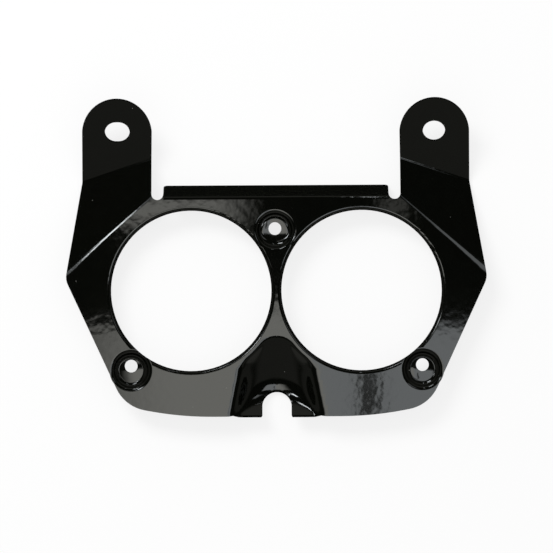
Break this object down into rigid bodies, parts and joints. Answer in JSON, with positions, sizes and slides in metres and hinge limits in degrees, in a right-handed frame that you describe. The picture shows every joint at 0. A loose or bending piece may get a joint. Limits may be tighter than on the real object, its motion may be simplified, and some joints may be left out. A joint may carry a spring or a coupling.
{
  "type": "speedometer bracket",
  "caption": "Folded sheet-steel bracket that holds two round motorbike gauges side by side, with bent-up mounting ears, a back-folded flange and a pressed scoop.",
  "frame": {"origin": "middle of the rectangle that the bracket covers on the surface it lies on, at that surface", "axes": "+Z out of the front face of the plate, +X along the line through both gauge holes, +Y from the scoop towards the ears"},
  "size_m": [0.2104, 0.1596, 0.0226],
  "materials": {
    "black_enamel": "high-gloss black stove enamel"
  },
  "bodies": {
    "root": {"bracket": "black_enamel"}
  },
  "joints": []
}
